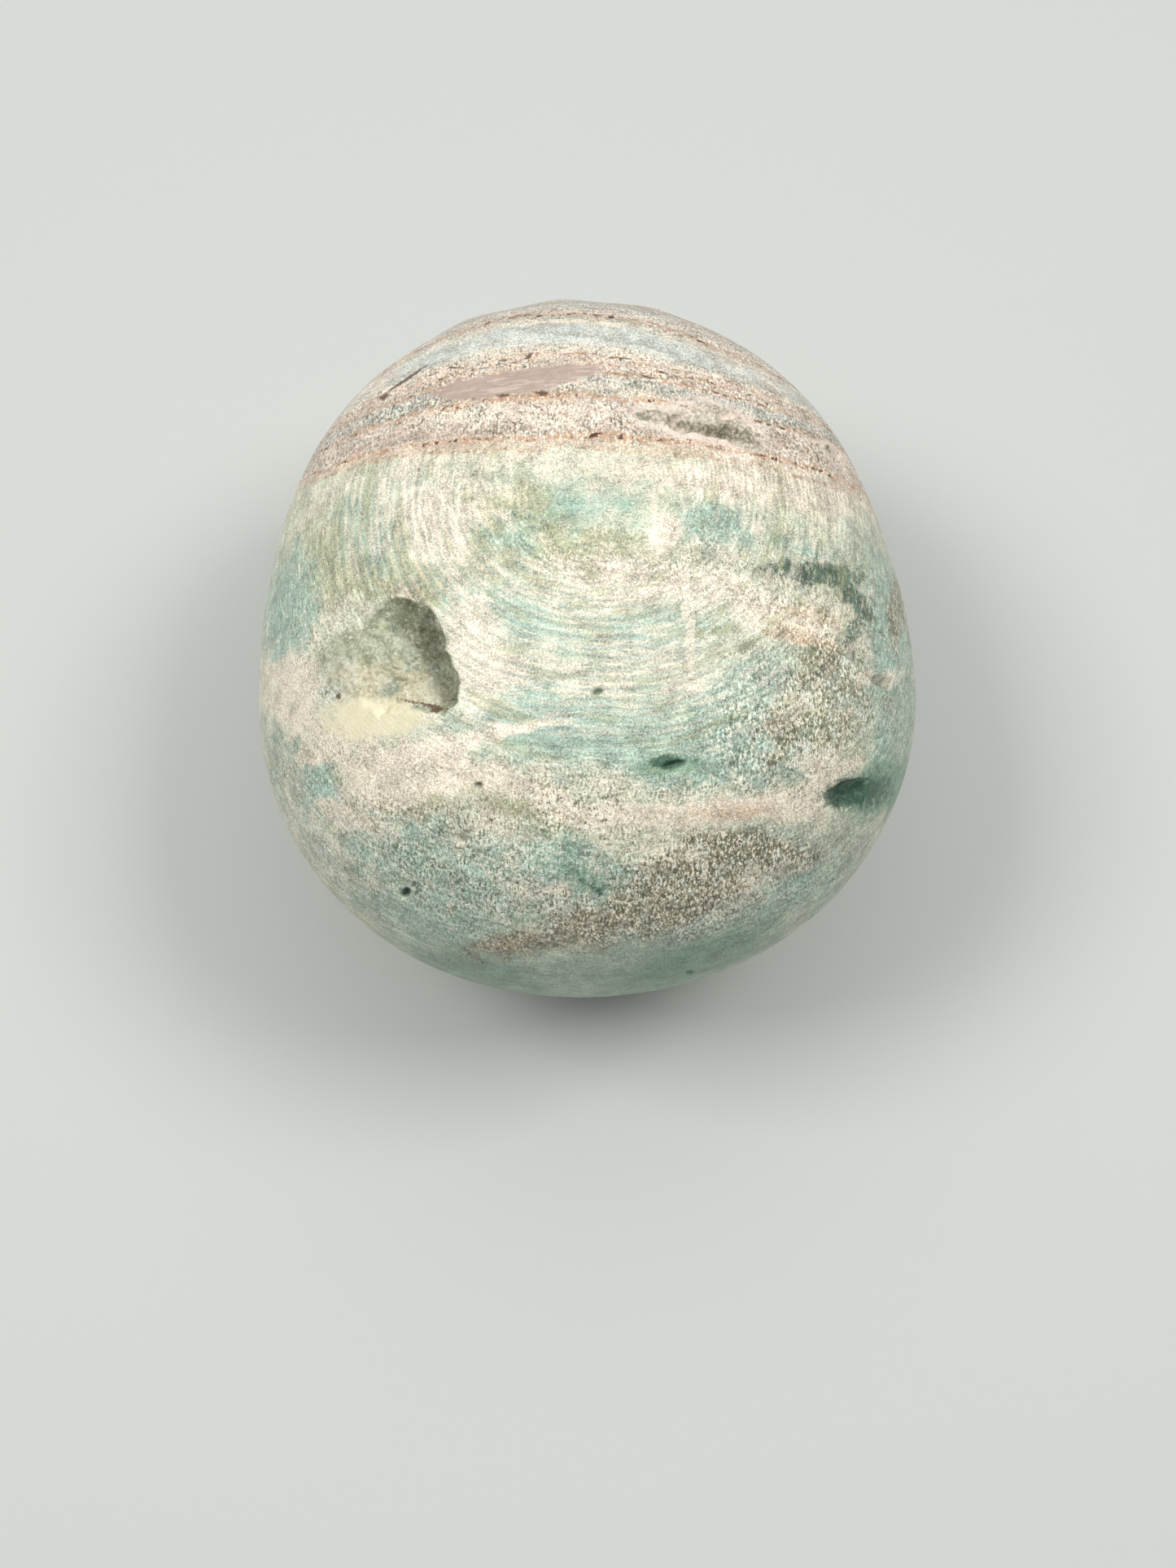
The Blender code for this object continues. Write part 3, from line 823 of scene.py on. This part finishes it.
# The grain: how the needles are squeezed, and their size in millimetres.
NEEDLE_SCALE = (1.6, 0.8, 0.8)
GRAIN_SIZE = 0.40
FINE_SIZE = 0.18
GRAIN_BUMP = 0.6
GRAIN_DEPTH = 0.00016

# The stone's last step in contrast: the power of its colours, and what makes up for the light it costs.
CONTRAST = 1.10
CONTRAST_LIFT = 1.06

# The layers above the dotted line, by height in millimetres, up over the forehead to the face.
LAYER_BANDS = [
    (-60.0, SAGE), (-0.9, SAGE), (-0.4, BEIGE), (0.6, BEIGE), (1.0, PINK_GREY), (2.8, PINK_GREY),
    (4.0, PINK_WHITE), (5.2, PINK_GREY), (6.0, ASH), (7.6, COOL_ASH), (8.8, PINK_GREY), (10.6, PINK_WHITE),
    (11.8, WARM_WHITE), (12.6, PALE_BLUE), (15.0, PALE_BLUE), (15.8, WARM_WHITE), (16.8, ASH),
    (17.8, PINK_WHITE), (20.0, COOL_ASH), (22.0, PINK_GREY), (25.0, WARM_WHITE),
]

# Dotted brown lines between the layers: height, half width and strength.
BROWN_LINES = [
    (0.6, 0.32, 1.0), (-0.7, 0.24, 0.5), (5.4, 0.30, 1.0), (8.7, 0.20, 0.95), (9.9, 0.15, 0.9),
    (10.9, 0.14, 0.8), (17.0, 0.26, 1.3), (20.6, 0.26, 0.8),
]


def banded_stone():
    s = Shader("banded_stone")
    coordinates = s.tree.nodes.new("ShaderNodeTexCoord").outputs["Object"]
    mm = s.vector("SCALE", coordinates, scale=1000.0)
    layer = s.attribute("layer")
    ring = s.attribute("ring")
    bowl = s.attribute("bowl")
    granular = s.attribute("granular")
    in_layers = s.ease(layer, -0.4, 0.6)
    below = s.math("SUBTRACT", 1.0, in_layers)

    def rugged(size, shift, detail=6.0, roughness=0.68):
        """Noise with ever finer lumps, mostly from 0.35 to 0.65, for edges that look torn."""
        noise = s.noise(s.vector("ADD", mm, (shift, 0.7 * shift, -shift)), size, detail)
        noise.node.inputs["Roughness"].default_value = roughness
        return noise

    def mark(name, shift, size=2.6, ragged=1.5, soft=0.12):
        """A mark's share of the surface, its edge torn by noise."""
        noise = s.math("SUBTRACT", rugged(size, shift), 0.5)
        return s.ease(s.math("MULTIPLY_ADD", noise, ragged, s.attribute(name)), 0.5 - soft, 0.5 + soft)

    def laid(colour, share, strength, over):
        return s.mix(s.math("MULTIPLY", share, strength), colour, over)

    # The ground: layers above the dotted line, and below it a mottled sage, cream and blue.
    wavy = s.math("MULTIPLY_ADD", s.math("SUBTRACT", rugged(3.2, 3.0, 5.0, 0.6), 0.5), 2.0, layer)
    colour = s.bands(wavy, -60.0, 26.0, LAYER_BANDS)
    cream_share = s.math("MULTIPLY_ADD", below, 0.35, 0.2)
    colour = laid(colour, s.ease(rugged(5.0, 11.0), 0.47, 0.60), cream_share, WARM_WHITE)
    colour = laid(colour, s.ease(rugged(6.0, 17.0), 0.54, 0.64), s.math("MULTIPLY", below, 0.45), BLUE_TINT)
    # Darker grey-teal: partly the stone's own, partly painted shade towards the bottom rim and the sides.
    colour = laid(colour, mark("dark_stone_and_shade", 19.0, 5.0, 1.5, 0.4), 0.80, GREY_TEAL)
    colour = laid(colour, mark("olive", 23.0, 2.6, 1.8, 0.35), 0.72, OLIVE_TINT)
    colour = laid(colour, mark("teal", 29.0, 3.4, 2.2, 0.4), 0.85, TEAL_TINT)
    brown = mark("brown", 37.0, 2.6, 2.6, 0.28)
    colour = laid(colour, brown, 0.74, BROWN_GREY)
    colour = laid(colour, mark("pale", 43.0, 2.6, 2.0, 0.28), 0.86, WARM_WHITE)
    colour = laid(colour, mark("rust", 53.0, 1.6, 1.2, 0.35), 0.50, RUST_TINT)
    clear = mark("green", 47.0, 2.0, 1.2, 0.45)
    deep = mark("deep", 59.0, 1.0, 2.2, 0.35)
    colour = laid(colour, clear, 0.85, CLEAR_GREEN)
    colour = laid(colour, deep, 0.90, DARK_TEAL)
    colour = laid(colour, mark("olive_line", 49.0, 1.6, 1.0, 0.3), 0.6, OLIVE_TINT)
    colour = laid(colour, mark("orange_line", 51.0, 1.6, 1.0, 0.3), 0.6, RUST_TINT)
    right_side = s.math("MULTIPLY", s.attribute("fibres"), in_layers)
    pinkish = s.math("MULTIPLY", right_side, s.ease(rugged(2.6, 55.0), 0.44, 0.58))
    colour = laid(colour, pinkish, 0.6, PINK_GREY)

    # Thin layers in the stone above: grey, pink and white in turn, under a millimetre each.
    thin = s.noise(s.vector("SCALE", mm, scale=0.10), 1.0, 3.0, w=s.math("MULTIPLY", wavy, 1.5))
    colour = laid(colour, s.ease(thin, 0.55, 0.64), s.math("MULTIPLY", in_layers, 0.55), ASH)
    colour = laid(colour, s.ease(thin, 0.46, 0.37), s.math("MULTIPLY", in_layers, 0.55), PINK_WHITE)

    # Grain: pale crystal ends, dark gaps between them, and both in warm and cool tints.
    rings = s.ease(s.attribute("rings"), 0.1, 0.9)
    needles = s.vector("MULTIPLY", mm, NEEDLE_SCALE)
    grain = s.noise(s.vector("ADD", needles, (5.0, 3.5, -5.0)), GRAIN_SIZE, 3.0)
    grain.node.inputs["Roughness"].default_value = 0.75
    fine = s.noise(mm, FINE_SIZE, 1.0)
    tint = rugged(1.6, 7.0, 3.0, 0.7)
    fleck = s.mix(s.ease(tint, 0.45, 0.58), FLECK_WARM, FLECK_COOL)
    clumps = s.ease(rugged(1.8, 9.0, 4.0), 0.40, 0.60)
    calm = s.math("SUBTRACT", 1.0, s.math("MULTIPLY", rings, 0.55))
    glassy = s.math("MULTIPLY_ADD", deep, 0.3, clear)
    calm = s.math("MULTIPLY", calm, s.math("MULTIPLY_ADD", glassy, -0.7, 1.0))
    smooth = mark("smooth", 95.0, 2.6, 2.0, 0.4)
    calm = s.math("MULTIPLY", calm, s.math("MULTIPLY_ADD", smooth, -0.65, 1.0))
    grain_share = s.math("MULTIPLY_ADD", granular, 0.60, 0.20)
    grain_share = s.math("MULTIPLY", grain_share, s.math("MULTIPLY_ADD", clumps, 0.7, 0.65))
    grain_share = s.math("MULTIPLY", grain_share, calm)
    grain_share = s.math("MULTIPLY_ADD", brown, 0.30, grain_share)
    blotches = s.math("MULTIPLY", brown, s.ease(rugged(1.0, 35.0, 4.0), 0.47, 0.38))
    colour = laid(colour, blotches, 0.75, DARK_OLIVE)
    colour = laid(colour, s.ease(grain, 0.51, 0.58), grain_share, fleck)
    colour = laid(colour, s.ease(grain, 0.49, 0.40), s.math("MULTIPLY", grain_share, 0.95), GAP)

    # Streaks and dashes where fibres lie along the growth rings.
    outward = s.vector("NORMALIZE", s.vector("SUBTRACT", mm, tuple(RING_CENTRE)))
    streak = s.noise(s.vector("SCALE", outward, scale=7.0), 1.0, 2.0, w=s.math("MULTIPLY", ring, 2.6))
    dash = s.noise(s.vector("SCALE", outward, scale=26.0), 1.0, 1.0, w=s.math("MULTIPLY", ring, 4.2))
    dash_share = s.math("MULTIPLY", s.math("MULTIPLY_ADD", granular, -0.25, 0.50), calm)
    colour = laid(colour, s.ease(dash, 0.55, 0.68), dash_share, fleck)
    gap_share = s.math("MULTIPLY", s.math("MULTIPLY", below, calm), 0.28)
    colour = laid(colour, s.ease(dash, 0.44, 0.33), gap_share, GAP)

    # Growth rings: blue-grey and cream lines in turn, about a millimetre apart.
    wave = s.math("MULTIPLY_ADD", rugged(3.0, 67.0, 3.0), 0.9, ring)
    wave = s.math("SINE", s.math("MULTIPLY", wave, RING_TURNS))
    colour = laid(colour, s.ease(wave, 0.0, 0.9), s.math("MULTIPLY", rings, 0.34), RING_CREAM)
    colour = laid(colour, s.ease(wave, 0.1, -0.9), s.math("MULTIPLY", rings, 0.40), RING_BLUE)
    broad = s.noise(s.vector("SCALE", outward, scale=4.0), 1.0, 3.0, w=s.math("MULTIPLY", ring, 0.8))
    colour = laid(colour, s.ease(broad, 0.52, 0.64), s.math("MULTIPLY", bowl, 0.35), WARM_WHITE)
    colour = laid(colour, s.ease(broad, 0.47, 0.36), s.math("MULTIPLY", bowl, 0.45), OLIVE_TINT)

    # Upright fibres in the pale stone just under the dotted line.
    across_fibres = s.tree.nodes.new("ShaderNodeSeparateXYZ")
    s.feed(across_fibres.inputs[0], mm)
    fibre = s.math("MULTIPLY_ADD", rugged(2.0, 97.0, 3.0), 0.9, across_fibres.outputs[0])
    fibre = s.math("SINE", s.math("MULTIPLY", fibre, FIBRE_TURNS))
    under = s.math("MULTIPLY", s.ease(layer, -5.0, -2.0), s.math("SUBTRACT", 1.0, s.ease(layer, -0.6, 0.8)))
    under = s.math("MULTIPLY", under, s.attribute("fibres"))
    colour = laid(colour, s.ease(fibre, 0.2, -0.9), s.math("MULTIPLY", under, 0.30), ASH)
    colour = laid(colour, s.ease(fibre, 0.0, 0.9), s.math("MULTIPLY", under, 0.30), WARM_WHITE)

    colour = laid(colour, mark("vein", 57.0, 1.2, 1.4, 0.3), 0.6, FLECK_WARM)
    light = s.math("MULTIPLY_ADD", rugged(2.4, 61.0), 1.3, 0.355)
    streak_share = s.math("MULTIPLY", s.math("MULTIPLY_ADD", bowl, 0.8, 0.3), below)
    light = s.math("MULTIPLY_ADD", s.math("SUBTRACT", streak, 0.5), streak_share, light)
    light = s.math("MULTIPLY_ADD", s.math("SUBTRACT", fine, 0.5), 1.6, light)
    colour = s.times(colour, light)

    # The dotted brown lines: rust around each, and dark dots that crowd in places.
    for height, width, share in BROWN_LINES:
        off = s.math("ABSOLUTE", s.math("SUBTRACT", wavy, height))
        near = s.math("SUBTRACT", 1.0, s.ease(off, 0.4 * width, 2.2 * width))
        core = s.math("SUBTRACT", 1.0, s.ease(off, 0.3 * width, 1.3 * width))
        dots = s.ease(rugged(0.8, 31.0 + height, 2.0, 0.7), 0.50, 0.58)
        crowd = s.math("MULTIPLY_ADD", s.ease(rugged(4.5, 41.0 + height, 3.0), 0.43, 0.56), 0.70, 0.30)
        dots = s.math("MULTIPLY", dots, crowd)
        dashes = s.ease(grain, 0.55, 0.44)
        colour = laid(colour, s.math("MULTIPLY", near, dashes), 0.9 * share, RUST_TINT)
        colour = laid(colour, s.math("MULTIPLY", core, dots), share, DARK_BROWN)

    # The mauve lens, with slanting scratches and a pale outline.
    along = s.tree.nodes.new("ShaderNodeMapping")
    s.feed(along.inputs["Vector"], mm)
    along.inputs["Rotation"].default_value = (0.0, 0.0, SCRATCH_TURN)
    along.inputs["Scale"].default_value = SCRATCH_SCALE
    scratch = s.ease(s.noise(along.outputs["Vector"], 1.0, 1.0), 0.58, 0.66)
    lens = laid(MAUVE, scratch, 0.75, MAUVE_SCRATCH)
    lens = laid(lens, s.ease(tint, 0.4, 0.6), 0.25, MAUVE_SCRATCH)
    colour = laid(colour, mark("mauve", 71.0, 1.2, 0.6, 0.20), 0.5, PINK_WHITE)
    colour = laid(colour, s.ease(mark("mauve", 71.0, 1.2, 0.6, 0.12), 0.35, 0.75), 0.92, lens)

    # The cavities: crystals with painted shade that deepens with depth, and one smooth pale lens under the
    # widest.
    druse = s.math("MULTIPLY_ADD", s.math("SUBTRACT", rugged(0.9, 73.0), 0.5), 1.2, s.attribute("druse"))
    druse = s.ease(druse, 0.3, 0.8)
    crystal = s.mix(in_layers, CRYSTAL_GREEN, CRYSTAL_PINK)
    crystal = laid(crystal, mark("warm", 75.0, 1.2, 1.2, 0.4), 0.8, CRYSTAL_WARM)
    sugar = rugged(0.34, 79.0, 3.0, 0.8)
    cloudy = rugged(1.9, 93.0, 4.0, 0.7)
    sugar_share = s.math("MULTIPLY_ADD", in_layers, 0.25, 0.32)
    crystal = laid(crystal, s.ease(cloudy, 0.49, 0.38), 0.45, MURKY)
    crystal = laid(crystal, s.ease(cloudy, 0.51, 0.62), 0.35, FLECK_COOL)
    # Painted shade where the cavities are overhung and cracked; it also darkens the crystals' colour below.
    cavity_shade = mark("cavity_shade", 81.0, 1.0, 1.0, 0.4)
    crystal = laid(crystal, cavity_shade, 0.62, MURKY)
    # Sparse bright specks on the crystals: painted glints.
    crystal = laid(crystal, s.ease(rugged(0.45, 99.0, 2.0), 0.64, 0.70), 0.8, FLECK_WARM)
    crystal = laid(crystal, s.ease(sugar, 0.52, 0.60), sugar_share, FLECK_WARM)
    crystal = laid(crystal, s.ease(sugar, 0.48, 0.40), sugar_share, MURKY)
    # Painted shade: the crystals' colour darkens the deeper they lie in a cavity.
    darker = s.math("MULTIPLY_ADD", s.ease(s.attribute("inset"), 1.2, 3.6), -0.30, 1.0)
    darker = s.math("MULTIPLY", darker, s.math("MULTIPLY_ADD", cavity_shade, -0.12, 1.0))
    lip = s.math("MULTIPLY", mark("lip", 87.0, 0.9, 2.6, 0.4), s.ease(sugar, 0.40, 0.54))
    colour = laid(colour, lip, 0.8, LIP_PINK)
    colour = laid(colour, druse, 0.92, s.times(crystal, darker))
    # Small pits: painted shade in dark teal below the layers, and the crystals' own pink within the layers.
    pit_shade_and_lining = s.math("MULTIPLY", s.ease(s.attribute("inset"), 0.12, 0.8), s.math("SUBTRACT", 1.0, druse))
    colour = laid(colour, pit_shade_and_lining, 0.62, s.mix(in_layers, DARK_TEAL, CRYSTAL_PINK))
    lens = laid(LENS_YELLOW, s.ease(grain, 0.52, 0.63), 0.25, FLECK_WARM)
    lens = laid(lens, s.ease(cloudy, 0.46, 0.60), 0.45, FLECK_WARM)
    colour = laid(colour, mark("lens", 83.0, 1.6, 1.2, 0.25), 0.85, lens)
    # Dark brown lines and specks, and painted shadow in the temple crease.
    colour = laid(colour, mark("dark_lines_and_crease_shade", 89.0, 0.4, 2.0, 0.2), 0.85, DARK_BROWN)

    # The surface: more contrast, a satin polish that the grain breaks up, and a little light from within.
    colour = s.times(s.gamma(colour, CONTRAST), CONTRAST_LIFT)
    s.feed(s.surface.inputs["Base Color"], colour)
    rough = s.math("MULTIPLY_ADD", s.math("SUBTRACT", grain, 0.5), 0.5, 0.44)
    rough = s.math("MULTIPLY_ADD", druse, 0.1, rough)
    s.feed(s.surface.inputs["Roughness"], rough)

    height = s.math("MULTIPLY", grain, s.math("MULTIPLY_ADD", granular, 0.8, 0.4))
    height = s.math("MULTIPLY_ADD", dash, 0.4, height)
    height = s.math("MULTIPLY_ADD", fine, 0.35, height)
    bump = s.tree.nodes.new("ShaderNodeBump")
    bump.inputs["Strength"].default_value = GRAIN_BUMP
    bump.inputs["Distance"].default_value = GRAIN_DEPTH
    s.feed(bump.inputs["Height"], height)
    s.feed(s.surface.inputs["Normal"], bump.outputs["Normal"])

    s.surface.inputs["Subsurface Weight"].default_value = 0.15
    s.surface.inputs["Subsurface Radius"].default_value = (1.0, 1.0, 0.8)
    s.surface.inputs["Subsurface Scale"].default_value = 0.0005
    s.surface.inputs["Specular IOR Level"].default_value = 0.45
    return s.material


def plain_material(name, colour, roughness):
    s = Shader(name)
    s.feed(s.surface.inputs["Base Color"], colour)
    s.surface.inputs["Roughness"].default_value = roughness
    return s.material


FLOOR_REACH = 3.0
WINDOW_LIGHT = (1.0, 0.98, 0.95)
SKY_LIGHT = (0.95, 0.97, 1.0, 1.0)
SKY_STRENGTH = 0.20


def floor():
    corners = [(x * FLOOR_REACH, y * FLOOR_REACH, 0.0) for x, y in ((-1, -1), (1, -1), (1, 1), (-1, 1))]
    mesh = bpy.data.meshes.new("floor")
    mesh.from_pydata(corners, [], [(0, 1, 2, 3)])
    mesh.materials.append(plain_material("pale_floor", (0.62, 0.64, 0.62), 0.7))
    plane = bpy.data.objects.new("floor", mesh)
    plane.location.z = -0.0001
    bpy.context.scene.collection.objects.link(plane)


def soft_light(name, place, power, size, colour=(1.0, 1.0, 1.0)):
    """A square area light at a place in metres, turned to the carving's centre."""
    light = bpy.data.lights.new(name, "AREA")
    light.energy = power
    light.size = size
    light.color = colour
    lamp = bpy.data.objects.new(name, light)
    lamp.location = place
    lamp.rotation_euler = (Vector(CENTRE * METRES) - lamp.location).to_track_quat("-Z", "Y").to_euler()
    bpy.context.scene.collection.objects.link(lamp)


def studio():
    soft_light("left_window", (0.42, -0.04, 0.78), 3.13, 0.30, WINDOW_LIGHT)
    soft_light("right_window", (-0.42, -0.04, 0.78), 2.93, 0.30, WINDOW_LIGHT)
    soft_light("overhead", (0.0, -0.2, 0.75), 2.0, 0.8)
    world = bpy.data.worlds.new("studio")
    world.use_nodes = True
    world.node_tree.nodes["Background"].inputs["Color"].default_value = SKY_LIGHT
    world.node_tree.nodes["Background"].inputs["Strength"].default_value = SKY_STRENGTH
    bpy.context.scene.world = world
    bpy.context.scene.view_settings.view_transform = "Standard"


def camera():
    """The photo's view. The camera is aimed off the centre, so that this needs no shift."""
    right, up, forward = picture_axes()
    focal = LENS / SENSOR * PICTURE[1]
    tilt = np.arctan((CENTRE_IN_PICTURE[1] - PICTURE[1] / 2) / focal)
    swing = np.arctan((PICTURE[0] / 2 - CENTRE_IN_PICTURE[0]) / focal)
    aimed = forward * np.cos(tilt) + up * np.sin(tilt)
    upward = up * np.cos(tilt) - forward * np.sin(tilt)
    ahead = aimed * np.cos(swing) + right * np.sin(swing)
    sideways = right * np.cos(swing) - aimed * np.sin(swing)
    data = bpy.data.cameras.new("camera")
    data.lens = LENS
    data.sensor_width = SENSOR
    data.clip_start = 0.01
    eye = bpy.data.objects.new("camera", data)
    turn = Matrix((sideways, upward, -ahead)).transposed().to_4x4()
    eye.matrix_world = Matrix.Translation(Vector((CENTRE - forward * EYE_DISTANCE) * METRES)) @ turn
    bpy.context.scene.collection.objects.link(eye)
    bpy.context.scene.camera = eye


camera()
studio()
floor()
stone = build_skull()
stone.data.materials.append(banded_stone())
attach(stone, "root")
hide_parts("skull")
